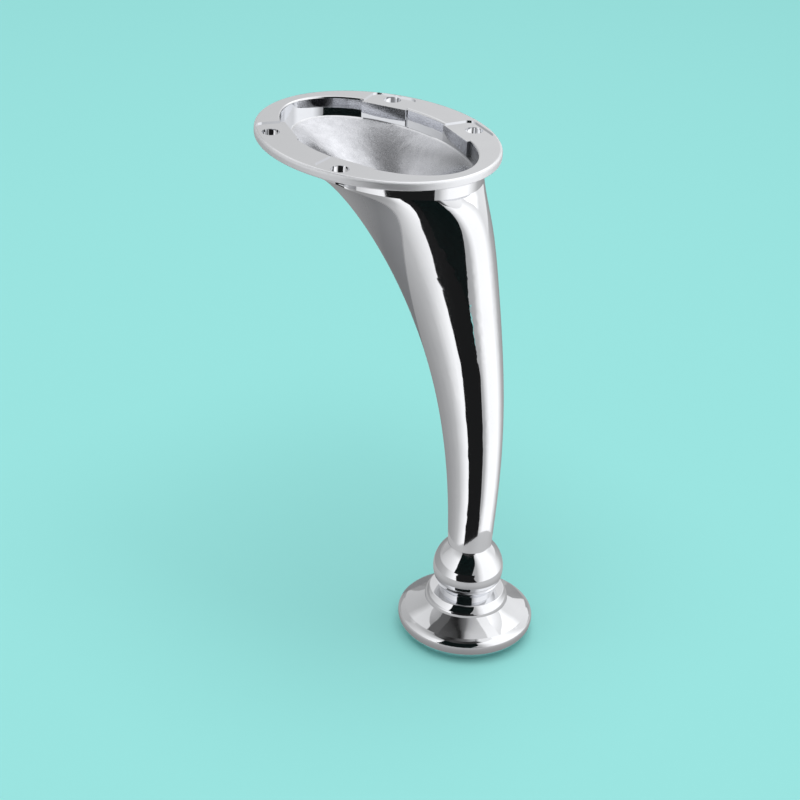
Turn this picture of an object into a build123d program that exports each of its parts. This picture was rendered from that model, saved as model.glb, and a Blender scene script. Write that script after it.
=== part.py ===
# Curved metal leg for a piece of furniture, cast in one piece.
# The foot stands on the origin, +Z is up and the flange overhangs towards +X.
# The leg is mirror symmetric about the XZ plane. All sizes are in millimetres.
import os
from math import atan2, degrees, sqrt

from build123d import *

# Overall sizes
leg_height = 150.0
flange_offset = 50.2

# Flange: an oval plate with a rounded rim
flange_length = 81.4
flange_width = 68.0
plate_thickness = 2.6
rim_rounding = 0.9
rim_lower_rounding = 0.5

# Mouth: an oval recess with an upright wall and a narrow ledge below it
mouth_length = 72.6
mouth_width = 46.0
mouth_depth = 4.8
collar_wall = 2.2
mouth_edge_rounding = 0.5
ledge_rounding = 0.7

# Screw holes in the middle of the flange's land, and their sunk pads
hole_diameter = 5.4
outer_hole_x = 20.4
inner_hole_x = -14.1
pad_width = 15.0
pad_overhang = 1.2
pad_rim = 1.9
pad_sink = 0.4
pad_corner = 2.6
pad_wall = 1.7

# Horn: oval sections that lean and swell from the neck up to the mouth
neck_radius = 6.75
lean_reach = 39.3
lean_power = 2.67
sweep_power = 15.8
swell_reach = 9.65
swell_power = 1.0
flare_power = 5.05
widen_reach = 10.4
widen_power = 1.82
lip_power = 28.0

# Hollow inside the horn
horn_wall = 2.6
hollow_drop = 3.2
hollow_floor_rise = 16.0
hollow_floor_rounding = 1.5

# Foot, from the floor up to the ball
base_radius = 18.2
rim_radius = 21.1
rim_height = 5.4
lip_top_radius = 19.1
lip_top_rise = 2.5
lip_slope = 0.78
flare_top_radius = 13.0
flare_rise = 3.6
flare_sag = 0.12
bead_bulge = 0.35
bead_rise = 3.4
bead_top_radius = 11.6
bead_rounding = 0.3
groove_radius = 8.5
groove_rise = 0.9
ball_radius = 10.9

# Heights that follow from the sizes above
plate_underside = leg_height - plate_thickness
mouth_floor = leg_height - mouth_depth
collar_bottom = mouth_floor - collar_wall
lip_top = rim_height + lip_top_rise
flare_top = lip_top + flare_rise
bead_top = flare_top + bead_rise
groove_top = bead_top + groove_rise
ball_centre = groove_top + sqrt(ball_radius**2 - groove_radius**2)
neck_height = ball_centre + sqrt(ball_radius**2 - neck_radius**2)
hollow_floor = neck_height + hollow_floor_rise

# Half axes of the ovals
flange_half_length = flange_length / 2
flange_half_width = flange_width / 2
mouth_half_length = mouth_length / 2
mouth_half_width = mouth_width / 2
collar_half_length = mouth_half_length + collar_wall
collar_half_width = mouth_half_width + collar_wall


def oval(x, z, half_length, half_width):
    """Level oval face centred at x on the mirror plane."""
    return Pos(x, 0, z) * Ellipse(half_length, half_width)


def oval_edge(x, half_length, half_width):
    """Distance of an oval's edge from the mirror plane, at x from its centre."""
    return half_width * sqrt(1 - (x / half_length) ** 2)


def edge_at(body, height, half_width):
    """Oval edge of the body at this height whose half width is nearest to the given one."""
    level = body.edges().filter_by_position(Axis.Z, height - 0.01, height + 0.01)
    return min(level, key=lambda edge: abs(edge.bounding_box().size.Y / 2 - half_width))


def horn_outline(z):
    """Inner edge, outer edge and half width of the horn's outside at height z."""
    s = min(1, max(0, (z - neck_height) / (collar_bottom - neck_height)))
    centre = lean_reach * s**lean_power + (flange_offset - lean_reach) * s**sweep_power
    flare = collar_half_length - neck_radius - swell_reach
    half_length = neck_radius + swell_reach * s**swell_power + flare * s**flare_power
    lip = collar_half_width - neck_radius - widen_reach
    half_width = neck_radius + widen_reach * s**widen_power + lip * s**lip_power
    return centre - half_length, centre + half_length, half_width


def level_steps(low, high, count):
    """Heights from low to high that crowd together towards the flared top."""
    return [high - (high - low) * (1 - step / count) ** 1.6 for step in range(count + 1)]


def section(inner_edge, outer_edge, half_width, z):
    """Level oval face between two edges on the mirror plane."""
    return oval((inner_edge + outer_edge) / 2, z, (outer_edge - inner_edge) / 2, half_width)


def horn_outside():
    """Solid horn from inside the ball up to the collar."""
    sections = []
    for z in level_steps(neck_height, collar_bottom, 11):
        inner_edge, outer_edge, half_width = horn_outline(z)
        sections.append(section(inner_edge, outer_edge, half_width, z))
    stub_height = neck_height - ball_centre
    stub = Pos(0, 0, ball_centre + stub_height / 2) * Cylinder(neck_radius, stub_height)
    return loft(sections) + stub


def horn_hollow():
    """Space inside the horn, deeper under the side that overhangs."""
    sections = []
    for z in level_steps(hollow_floor, mouth_floor, 9):
        inner_edge = horn_outline(z)[0] + horn_wall
        outer_edge = horn_outline(z - hollow_drop)[1] - horn_wall
        half_width = horn_outline(z - hollow_drop)[2] - horn_wall
        sections.append(section(inner_edge, outer_edge, half_width, z))
    hollow = loft(sections)
    floor_edge = hollow.edges().sort_by(Axis.Z)[0]
    return fillet(floor_edge, hollow_floor_rounding)


def flange_plate():
    """Oval plate with a well rounded upper rim."""
    outline = oval(flange_offset, plate_underside, flange_half_length, flange_half_width)
    plate = extrude(outline, plate_thickness)
    plate = fillet(plate.edges().group_by(Axis.Z)[-1], rim_rounding)
    return fillet(plate.edges().group_by(Axis.Z)[0], rim_lower_rounding)


def collar(top):
    """Upright oval block of material around the mouth, from below its ledge to top."""
    outline = oval(flange_offset, collar_bottom, collar_half_length, collar_half_width)
    return extrude(outline, top - collar_bottom)


def mouth_recess():
    """Space of the mouth above its ledge, to be cut out."""
    outline = oval(flange_offset, mouth_floor, mouth_half_length, mouth_half_width)
    return extrude(outline, mouth_depth + plate_thickness)


def hole_places():
    """Each hole's centre from the flange centre, its turn, and its reach to the pad's face."""
    places = []
    for x in (outer_hole_x, inner_hole_x):
        mouth_y = oval_edge(x, mouth_half_length, mouth_half_width)
        flange_y = oval_edge(x, flange_half_length, flange_half_width)
        y = (mouth_y + flange_y) / 2
        slope = atan2(-x * mouth_half_width**2, mouth_y * mouth_half_length**2)
        half_land = (flange_y - mouth_y) / 2
        places.append((x, y, degrees(slope), half_land))
        places.append((x, -y, 180 - degrees(slope), half_land))
    return places


def pad_footprint(x, y, turn, half_land, z):
    """Level face of one pad: flat towards the mouth, rounded at the outer corners."""
    depth = 2 * half_land + pad_overhang - pad_rim
    shape = Rectangle(pad_width, depth, align=(Align.CENTER, Align.MAX))
    shape = fillet(shape.vertices().group_by(Axis.Y)[-1], pad_corner)
    shape = Pos(0, half_land - pad_rim) * shape
    return Pos(flange_offset + x, y, z) * Rot(0, 0, turn) * shape


def screw_bosses():
    """Blocks with a flat face towards the mouth, one beside each screw hole."""
    bosses = []
    bound = collar(leg_height)
    for x, y, turn, half_land in hole_places():
        footprint = pad_footprint(x, y, turn, half_land, collar_bottom)
        block = extrude(footprint, leg_height - collar_bottom)
        bosses.append(block & bound)
    return bosses


def screw_cuts():
    """Screw holes, their sunk pads and the room for screw heads under the plate."""
    cuts = []
    head_room = plate_underside - collar_bottom + 2 * collar_wall
    for x, y, turn, half_land in hole_places():
        place = Pos(flange_offset + x, y, plate_underside)
        hole = Pos(0, 0, plate_thickness / 2) * Cylinder(hole_diameter / 2, 2 * plate_thickness)
        head_radius = half_land + pad_overhang - pad_wall
        head = Pos(0, 0, -head_room / 2) * Cylinder(head_radius, head_room)
        pad = pad_footprint(x, y, turn, half_land, leg_height - pad_sink)
        cuts.append(place * hole)
        cuts.append(place * head)
        cuts.append(extrude(pad, 2 * pad_sink))
    return cuts


def foot():
    """Turned foot: flat base, rounded lip, slightly hollow flare, bead, groove and ball."""
    rim = (rim_radius, rim_height)
    lip_end = (lip_top_radius, lip_top)
    flare_end = (flare_top_radius, flare_top)
    flare_middle = (
        (lip_top_radius + flare_top_radius - flare_sag) / 2,
        (lip_top + flare_top) / 2 - flare_sag,
    )
    bead_middle = (
        (flare_top_radius + bead_top_radius) / 2 + bead_bulge,
        flare_top + bead_rise / 2,
    )
    bead_end = (bead_top_radius, bead_top)
    ball_top = (0, ball_centre + ball_radius)
    outline = [
        Line((0, 0), (base_radius, 0)),
        Spline((base_radius, 0), rim, tangents=((0.7, 1), (0, 1))),
        Spline(rim, lip_end, tangents=((0, 1), (-1, lip_slope))),
        ThreePointArc(lip_end, flare_middle, flare_end),
        ThreePointArc(flare_end, bead_middle, bead_end),
        Polyline(bead_end, (groove_radius, bead_top), (groove_radius, groove_top)),
        ThreePointArc((groove_radius, groove_top), (ball_radius, ball_centre), ball_top),
        Line(ball_top, (0, 0)),
    ]
    turned = revolve(Plane.XZ * make_face(Curve() + outline), Axis.Z)
    bead_edge = edge_at(turned, bead_top, bead_top_radius)
    return fillet(bead_edge, bead_rounding)


def soften_mouth(body):
    """Rounds the mouth's upper edge and the edge of its ledge over the hollow."""
    body = fillet(edge_at(body, leg_height, mouth_half_width), mouth_edge_rounding)
    hollow_half_width = horn_outline(mouth_floor - hollow_drop)[2] - horn_wall
    return fillet(edge_at(body, mouth_floor, hollow_half_width), ledge_rounding)


def leg_casting():
    """The whole leg as one solid."""
    body = flange_plate() + collar(plate_underside) + horn_outside() + foot()
    body = soften_mouth(body - mouth_recess() - horn_hollow())
    for boss in screw_bosses():
        body = body + boss
    for cut in screw_cuts():
        body = body - cut
    return body


os.makedirs("parts", exist_ok=True)
export_step(leg_casting(), "parts/leg_casting.step")
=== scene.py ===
import math

import bpy
from mathutils import Matrix, Vector

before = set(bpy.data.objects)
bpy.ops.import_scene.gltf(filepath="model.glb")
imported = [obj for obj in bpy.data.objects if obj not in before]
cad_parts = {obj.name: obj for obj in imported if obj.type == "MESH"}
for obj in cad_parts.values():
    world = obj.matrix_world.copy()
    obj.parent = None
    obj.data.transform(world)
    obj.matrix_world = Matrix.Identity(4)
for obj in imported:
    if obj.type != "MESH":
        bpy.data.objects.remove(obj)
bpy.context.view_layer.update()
scene = bpy.context.scene
scene.view_settings.view_transform = "Standard"

# The horn's outside, in metres: heights of its ends, its neck, and (size, power) terms of its ovals
HORN_FOOT, HORN_HEAD = 0.03118, 0.143
NECK = 0.00675
LEAN = ((0.0393, 2.67), (0.0109, 15.8))
LENGTH = ((0.00965, 1.0), (0.0221, 5.05))
WIDTH = ((0.0104, 1.82), (0.00805, 28.0))

# The flange's and the mouth's ovals, in metres
FLANGE_X, FLANGE_HALF_LENGTH, FLANGE_HALF_WIDTH = 0.0502, 0.0407, 0.034
MOUTH_HALF_LENGTH, MOUTH_HALF_WIDTH = 0.0363, 0.023

# Where the finishes fade, as (value that gives 0, value that gives 1)
HOLLOW_SPREAD, HOLLOW_TOP, HOLLOW_FLOOR = (0.955, 0.93), (0.14515, 0.1448), (0.044, 0.045)
EDGE_SPREAD, EDGE_BOTTOM = (0.955, 0.985), (0.1465, 0.1472)
# where the mouth's wall at its end over the foot fades to its painted shade and rougher finish
WALL_SPREAD, WALL_END, WALL_TOP = (1.04, 1.01), (0.046, 0.030), (0.1496, 0.1492)

# Colours of the plating: each finish goes from its first to its second
POLISHED_TONES = ((0.78, 0.79, 0.815), (0.84, 0.85, 0.87))
CAST_TONES = ((0.50, 0.51, 0.54), (0.78, 0.79, 0.83))
# painted shade: darker colour of the mouth's wall at its end over the foot
PAINTED_SHADE_TONE = (0.42, 0.43, 0.45)

# Roughness of each finish, and what its noise adds
POLISHED_ROUGHNESS, CLOUD_ROUGHNESS = 0.035, 0.03
DULL_ROUGHNESS, SATIN_ROUGHNESS = 0.3, 0.45
CAST_ROUGHNESS, GRAIN_ROUGHNESS = 0.20, 0.12

# Heights of the bumps, in metres, and how much the streaks inside the horn are drawn out
WAVE_BUMP, GRAIN_BUMP, LUMP_BUMP, STREAK_BUMP = 1.2e-5, 1.2e-5, 4.0e-5, 6.0e-5
STREAK_STRETCH = (1, 1, 0.09)

# Camera at the photograph's viewing angle, and its level directions
CAMERA_PLACE = (-0.34589, 0.35873, 0.35174)
CAMERA_RIGHT = Vector((-0.66793, -0.74297, 0.04320))
CAMERA_UP = Vector((0.38188, -0.29234, 0.87676))
SENSOR_WIDTH, FOCAL_LENGTH = 36, 85.5
VIEW_RIGHT = Vector((-0.68607, -0.72754, 0))
VIEW_AWAY = Vector((0.72754, -0.68607, 0))

# Stage, in metres: floor and lamp, heights of the cards on the floor, and radii of the domes of cards
FLOOR_SIDE, FLOOR_COLOUR = 8, (0.308, 0.72, 0.68)
LAMP_SIDE, LAMP_HEIGHT, LAMP_WATTS = 1.6, 1.6, 16
WORLD_COLOUR = (0.60, 0.62, 0.64)
FLOOR_CARD, FLOOR_FLAG = 0.002, 0.0025
SIDE_DOME, FLAG_DOME, TOP_DOME = 0.8, 0.79, 0.78

# Spacing of the points of cards in degrees, and steps across a flag and up an arch
CARD_SPACING = 2
FLAG_STEPS, ARCH_STEPS = 16, 12

# Brightness of the cards, as (bearing, brightness)
NEAR_GLOW = [(-180, 0.42), (-90, 0.52), (-40, 0.56), (0, 0.52), (45, 0.62), (90, 0.62), (180, 0.42)]
RIGHT_GLOW = [
    (17, 0.42), (28, 0.50), (36, 0.85), (48, 1.2), (95, 1.25), (112, 0.9), (130, 0.5), (162, 0.32),
    (180, 0.30),
]
LEFT_FLOOR_GLOW = [
    (-180, 0.30), (-162, 0.30), (-117, 0.37), (-93, 0.44), (-73, 0.56), (-56, 0.90), (-42, 1.15),
    (-30, 1.15),
]
LEFT_GLOW = [
    (-180, 0.32), (-162, 0.35), (-130, 0.45), (-93, 0.72), (-73, 0.85), (-56, 1.0), (-42, 1.15),
    (-30, 1.15),
]
BACK_GLOW = [(112, 0.9), (140, 0.95), (165, 0.85), (180, 0.72), (200, 0.60), (225, 0.52), (248, 0.48)]
LOW_TOP_GLOW = [
    (-180, 1.05), (-162, 0.85), (-142, 0.14), (-105, 0.11), (-65, 0.09), (-50, 0.015), (-30, 0.05),
    (10, 0.018), (38, 0.05), (48, 0.9), (110, 1.15), (180, 1.05),
]
HIGH_TOP_GLOW = [
    (-180, 0.85), (-155, 0.65), (-130, 0.12), (-105, 0.08), (-85, 0.05), (-68, 0.035), (-52, 0.006),
    (-38, 0.008), (-20, 0.07), (10, 0.16), (30, 0.38), (70, 0.62), (110, 0.75), (180, 0.85),
]

# Factors on that brightness, as (share of the way from a card's first row to its last, factor)
EVEN_FADE = [(0, 1), (1, 1)]
# painted shade: the near card glows dimmer next to the foot, for the shade on the floor round the foot as
# the chrome reflects it
NEAR_SHADE_FADE = [(0, 0.50), (0.34, 0.80), (0.67, 0.95), (1, 1)]
LEFT_FADE = [(0, 1), (0.7, 1), (1, 0.5)]
BACK_FADE = [(0, 1), (0.52, 1), (0.66, 1.6), (1, 1.6)]

# Edges of the black flags, as (distance or elevation, left bearing, right bearing)
FLOOR_FLAG_EDGES = [
    (0.050, -33, 28), (0.07, -35, 21), (0.11, -36, 18), (0.16, -35, 20),
    (0.25, -30, 20), (0.34, -37, 22), (0.40, -45, 24), (0.80, -45, 12),
]
FRONT_FLAG_EDGES = [
    (0, -45, 12), (10, -42, 15), (18, -40, 18), (30, -40, 23), (40, -40, 26), (50, -42, 28), (61, -46, 31),
]


def new_material(name):
    """Empty material with its output node: (material, nodes, links, output)."""
    material = bpy.data.materials.new(name)
    material.use_nodes = True
    nodes = material.node_tree.nodes
    nodes.clear()
    output = nodes.new("ShaderNodeOutputMaterial")
    return material, nodes, material.node_tree.links, output


class Sums:
    """Small arithmetic on the sockets of one material's nodes."""

    def __init__(self, nodes, links):
        self.nodes, self.links = nodes, links

    def feed(self, value, socket):
        """Gives a socket a number, a colour or the value of another socket."""
        if isinstance(value, tuple):
            socket.default_value = (*value, 1)
        elif isinstance(value, (int, float)):
            socket.default_value = value
        else:
            self.links.new(value, socket)

    def do(self, operation, a, b=0.0, clamp=False):
        node = self.nodes.new("ShaderNodeMath")
        node.operation = operation
        node.use_clamp = clamp
        self.feed(a, node.inputs[0])
        self.feed(b, node.inputs[1])
        return node.outputs[0]

    def add(self, *terms):
        total = terms[0]
        for term in terms[1:]:
            total = self.do("ADD", total, term)
        return total

    def times(self, a, b):
        return self.do("MULTIPLY", a, b)

    def power(self, a, b):
        return self.do("POWER", a, b)

    def ramp(self, value, low, high):
        """0 where value is low and 1 where it is high, straight between."""
        node = self.nodes.new("ShaderNodeMapRange")
        self.feed(value, node.inputs["Value"])
        node.inputs["From Min"].default_value = low
        node.inputs["From Max"].default_value = high
        return node.outputs["Result"]

    def mix(self, factor, a, b):
        """Number a where the factor is 0, and b where it is 1."""
        node = self.nodes.new("ShaderNodeMix")
        node.data_type = "FLOAT"
        self.feed(factor, node.inputs[0])
        self.feed(a, node.inputs[2])
        self.feed(b, node.inputs[3])
        return node.outputs[0]

    def mix_colours(self, factor, a, b):
        """Colour a where the factor is 0, and b where it is 1."""
        node = self.nodes.new("ShaderNodeMix")
        node.data_type = "RGBA"
        self.feed(factor, node.inputs[0])
        self.feed(a, node.inputs[6])
        self.feed(b, node.inputs[7])
        return node.outputs[2]

    def noise(self, where, scale, detail, rough=0.5):
        node = self.nodes.new("ShaderNodeTexNoise")
        self.links.new(where, node.inputs["Vector"])
        node.inputs["Scale"].default_value = scale
        node.inputs["Detail"].default_value = detail
        node.inputs["Roughness"].default_value = rough
        return node.outputs["Fac"]


def inside_horn(sums, x, y, z):
    """1 on the walls of the horn's hollow and 0 on its outside, the mouth and the foot."""
    rise = sums.do("DIVIDE", sums.do("SUBTRACT", z, HORN_FOOT), HORN_HEAD - HORN_FOOT, clamp=True)

    def grown(start, terms):
        return sums.add(start, *[sums.times(sums.power(rise, p), size) for size, p in terms])

    across = sums.do("DIVIDE", sums.do("SUBTRACT", x, grown(0.0, LEAN)), grown(NECK, LENGTH))
    aside = sums.do("DIVIDE", y, grown(NECK, WIDTH))
    spread = sums.add(sums.power(across, 2), sums.power(aside, 2))
    height = sums.times(sums.ramp(z, *HOLLOW_TOP), sums.ramp(z, *HOLLOW_FLOOR))
    return sums.times(sums.ramp(spread, *HOLLOW_SPREAD), height)


def oval_spread(sums, x, y, half_length, half_width):
    """1 on an oval of these half axes about the flange's centre, less inside it."""
    across = sums.do("DIVIDE", sums.do("SUBTRACT", x, FLANGE_X), half_length)
    aside = sums.do("DIVIDE", y, half_width)
    return sums.add(sums.times(across, across), sums.times(aside, aside))


def flange_edge(sums, x, y, z):
    """1 on the flange's upright edge, which has a satin finish."""
    spread = oval_spread(sums, x, y, FLANGE_HALF_LENGTH, FLANGE_HALF_WIDTH)
    return sums.times(sums.ramp(spread, *EDGE_SPREAD), sums.ramp(z, *EDGE_BOTTOM))


def shaded_wall_end(sums, x, y, z):
    """1 on the mouth's wall at its end over the foot, which gets a rougher finish and a darker colour that
    is painted shade.
    """
    spread = oval_spread(sums, x, y, MOUTH_HALF_LENGTH, MOUTH_HALF_WIDTH)
    within = sums.times(sums.ramp(spread, *WALL_SPREAD), sums.ramp(x, *WALL_END))
    return sums.times(within, sums.ramp(z, *WALL_TOP))


def plated_casting():
    """Bright chrome plating: polished outside, and the grain of the casting inside the horn."""
    material, nodes, links, output = new_material("chrome_plating")
    sums = Sums(nodes, links)
    where = nodes.new("ShaderNodeTexCoord").outputs["Object"]
    split = nodes.new("ShaderNodeSeparateXYZ")
    links.new(where, split.inputs[0])
    inside = inside_horn(sums, *split.outputs)
    # mask of the mouth's wall at its end over the foot: rougher, and darkened by painted shade
    dull_and_shaded = shaded_wall_end(sums, *split.outputs)
    satin = flange_edge(sums, *split.outputs)

    stretched = nodes.new("ShaderNodeVectorMath")
    stretched.operation = "MULTIPLY"
    links.new(where, stretched.inputs[0])
    stretched.inputs[1].default_value = STREAK_STRETCH

    cloud = sums.noise(where, scale=110, detail=3)
    grain = sums.noise(where, scale=1500, detail=4, rough=0.6)
    lumps = sums.noise(where, scale=330, detail=2)
    wave = sums.noise(where, scale=55, detail=1)
    streaks = sums.noise(stretched.outputs[0], scale=420, detail=3, rough=0.6)

    polished_colour = sums.mix_colours(cloud, *POLISHED_TONES)
    cast_colour = sums.mix_colours(streaks, *CAST_TONES)
    colour = sums.mix_colours(inside, polished_colour, cast_colour)
    # painted shade: the mouth's wall at its end over the foot is darkened
    colour = sums.mix_colours(dull_and_shaded, colour, PAINTED_SHADE_TONE)

    smooth = sums.add(POLISHED_ROUGHNESS, sums.times(cloud, CLOUD_ROUGHNESS))
    polished = sums.add(smooth, sums.times(dull_and_shaded, DULL_ROUGHNESS), sums.times(satin, SATIN_ROUGHNESS))
    cast = sums.add(CAST_ROUGHNESS, sums.times(grain, GRAIN_ROUGHNESS))

    bumps = sums.add(
        sums.times(grain, GRAIN_BUMP), sums.times(lumps, LUMP_BUMP), sums.times(streaks, STREAK_BUMP)
    )
    bump = nodes.new("ShaderNodeBump")
    bump.inputs["Distance"].default_value = 1.0
    links.new(sums.add(sums.times(wave, WAVE_BUMP), sums.times(inside, bumps)), bump.inputs["Height"])

    shader = nodes.new("ShaderNodeBsdfPrincipled")
    shader.inputs["Metallic"].default_value = 1.0
    links.new(colour, shader.inputs["Base Color"])
    links.new(sums.mix(inside, polished, cast), shader.inputs["Roughness"])
    links.new(bump.outputs[0], shader.inputs["Normal"])
    links.new(shader.outputs[0], output.inputs[0])
    return material


def plain(name, colour):
    """Matt stage material."""
    material, nodes, links, output = new_material(name)
    shader = nodes.new("ShaderNodeBsdfDiffuse")
    shader.inputs["Color"].default_value = (*colour, 1)
    links.new(shader.outputs[0], output.inputs[0])
    return material


def glowing(name):
    """Lit cloth of a softbox, as bright as its mesh's glow layer says."""
    material, nodes, links, output = new_material(name)
    layer = nodes.new("ShaderNodeAttribute")
    layer.attribute_name = "glow"
    shader = nodes.new("ShaderNodeEmission")
    links.new(layer.outputs["Fac"], shader.inputs["Strength"])
    links.new(shader.outputs[0], output.inputs[0])
    return material


def stage_piece(name, points, faces, material):
    """Mesh of the stage, which isn't part of the object."""
    mesh = bpy.data.meshes.new(name)
    mesh.from_pydata(points, [], faces)
    mesh.materials.append(material)
    piece = bpy.data.objects.new(name, mesh)
    scene.collection.objects.link(piece)
    return piece


def floor(material):
    """Level sheet that the leg stands on."""
    half = FLOOR_SIDE / 2
    corners = [(-half, -half, 0), (half, -half, 0), (half, half, 0), (-half, half, 0)]
    stage_piece("floor", corners, [(0, 1, 2, 3)], material)


def around(bearing, distance, height):
    """Point at a bearing in degrees from the camera's side, positive towards image right."""
    a = math.radians(bearing)
    return (VIEW_RIGHT * math.sin(a) - VIEW_AWAY * math.cos(a)) * distance + Vector((0, 0, height))


def curved_sheet(name, rows, material):
    """Sheet of the stage through rows of points, seen only in reflections."""
    count = len(rows[0])
    faces = []
    for r in range(len(rows) - 1):
        for i in range(count - 1):
            k = r * count + i
            faces.append((k, k + 1, k + count + 1, k + count))
    piece = stage_piece(name, [point for row in rows for point in row], faces, material)
    piece.visible_camera = False
    piece.visible_diffuse = False
    piece.visible_shadow = False
    return piece


def between(points, at):
    """Value at one place of a line through (place, value) points."""
    for (p0, v0), (p1, v1) in zip(points, points[1:]):
        if at <= p1:
            return v0 + (v1 - v0) * (at - p0) / (p1 - p0)
    return points[-1][1]


def card(name, glow, profile, material, fade=EVEN_FADE):
    """Softbox through a profile of (distance, height), with its brightness by bearing and by row."""
    first, last = glow[0][0], glow[-1][0]
    steps = int((last - first) / CARD_SPACING)
    bearings = [first + (last - first) * i / steps for i in range(steps + 1)]
    rows = [[around(b, distance, height) for b in bearings] for distance, height in profile]
    piece = curved_sheet(name, rows, material)
    layer = piece.data.attributes.new("glow", "FLOAT", "POINT")
    for r in range(len(rows)):
        factor = between(fade, r / (len(rows) - 1))
        for i, bearing in enumerate(bearings):
            layer.data[r * len(bearings) + i].value = factor * between(glow, bearing)


def flag(name, outline, material):
    """Black card through rows of ((distance, height), left bearing, right bearing)."""
    rows = []
    for (distance, height), left, right in outline:
        bearings = [left + (right - left) * i / FLAG_STEPS for i in range(FLAG_STEPS + 1)]
        rows.append([around(b, distance, height) for b in bearings])
    curved_sheet(name, rows, material)


def dome(radius, elevation):
    """Distance and height of a point on a dome, at an elevation in degrees."""
    e = math.radians(elevation)
    return radius * math.cos(e), radius * math.sin(e)


def arch(radius, low, high):
    """Profile of a card that leans over the object, between two elevations in degrees."""
    return [dome(radius, low + (high - low) * i / ARCH_STEPS) for i in range(ARCH_STEPS + 1)]


def studio():
    """Floor, and the cards and flags that the chrome reflects."""
    floor(plain("floor_paper", FLOOR_COLOUR))
    black = plain("black_card", (0.012, 0.012, 0.012))
    cloth = glowing("softbox_cloth")
    near_floor = [(0.0206, 0.0012), (0.029, FLOOR_CARD), (0.036, FLOOR_CARD), (0.052, FLOOR_CARD)]
    wide_floor = [(0.052, FLOOR_CARD), (0.8, FLOOR_CARD)]
    floor_edges = [((d, FLOOR_FLAG), left, right) for d, left, right in FLOOR_FLAG_EDGES]
    front_edges = [(dome(FLAG_DOME, e), left, right) for e, left, right in FRONT_FLAG_EDGES]

    # near card, dimmed next to the foot as painted shade
    card("near_card", NEAR_GLOW, near_floor, cloth, NEAR_SHADE_FADE)
    flag("floor_flag", floor_edges, black)
    flag("front_flag", front_edges, black)
    card("right_floor_card", RIGHT_GLOW, wide_floor, cloth)
    card("right_card", [(5, 0.42)] + RIGHT_GLOW, arch(SIDE_DOME, 0, 60), cloth)
    card("left_floor_card", LEFT_FLOOR_GLOW, wide_floor, cloth)
    card("left_card", LEFT_GLOW, arch(SIDE_DOME, 0, 60), cloth, LEFT_FADE)
    card("back_card", BACK_GLOW, arch(TOP_DOME, 8, 60), cloth, BACK_FADE)
    card("low_top_card", LOW_TOP_GLOW, arch(TOP_DOME, 60, 70), cloth)
    card("high_top_card", HIGH_TOP_GLOW, arch(TOP_DOME, 70, 89.5), cloth)


def camera():
    """Camera at the photograph's viewing angle."""
    data = bpy.data.cameras.new("camera")
    data.sensor_width = SENSOR_WIDTH
    data.lens = FOCAL_LENGTH
    data.clip_start = 0.01
    back = CAMERA_RIGHT.cross(CAMERA_UP).normalized()
    place = Matrix((CAMERA_RIGHT, CAMERA_UP, back)).transposed().to_4x4()
    place.translation = CAMERA_PLACE
    piece = bpy.data.objects.new("camera", data)
    piece.matrix_world = place
    scene.collection.objects.link(piece)
    scene.camera = piece


def light():
    """Even world, and a soft square lamp above the leg, facing down."""
    world = bpy.data.worlds.new("studio")
    scene.world = world
    world.use_nodes = True
    background = world.node_tree.nodes["Background"]
    background.inputs["Color"].default_value = (*WORLD_COLOUR, 1)
    background.inputs["Strength"].default_value = 1.0
    data = bpy.data.lights.new("top_lamp", "AREA")
    data.shape = "SQUARE"
    data.size = LAMP_SIDE
    data.energy = LAMP_WATTS
    piece = bpy.data.objects.new("top_lamp", data)
    piece.location = (0, 0, LAMP_HEIGHT)
    piece.visible_camera = False
    scene.collection.objects.link(piece)


studio()
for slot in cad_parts["leg_casting"].material_slots:
    slot.link = "OBJECT"
    slot.material = plated_casting()
camera()
light()
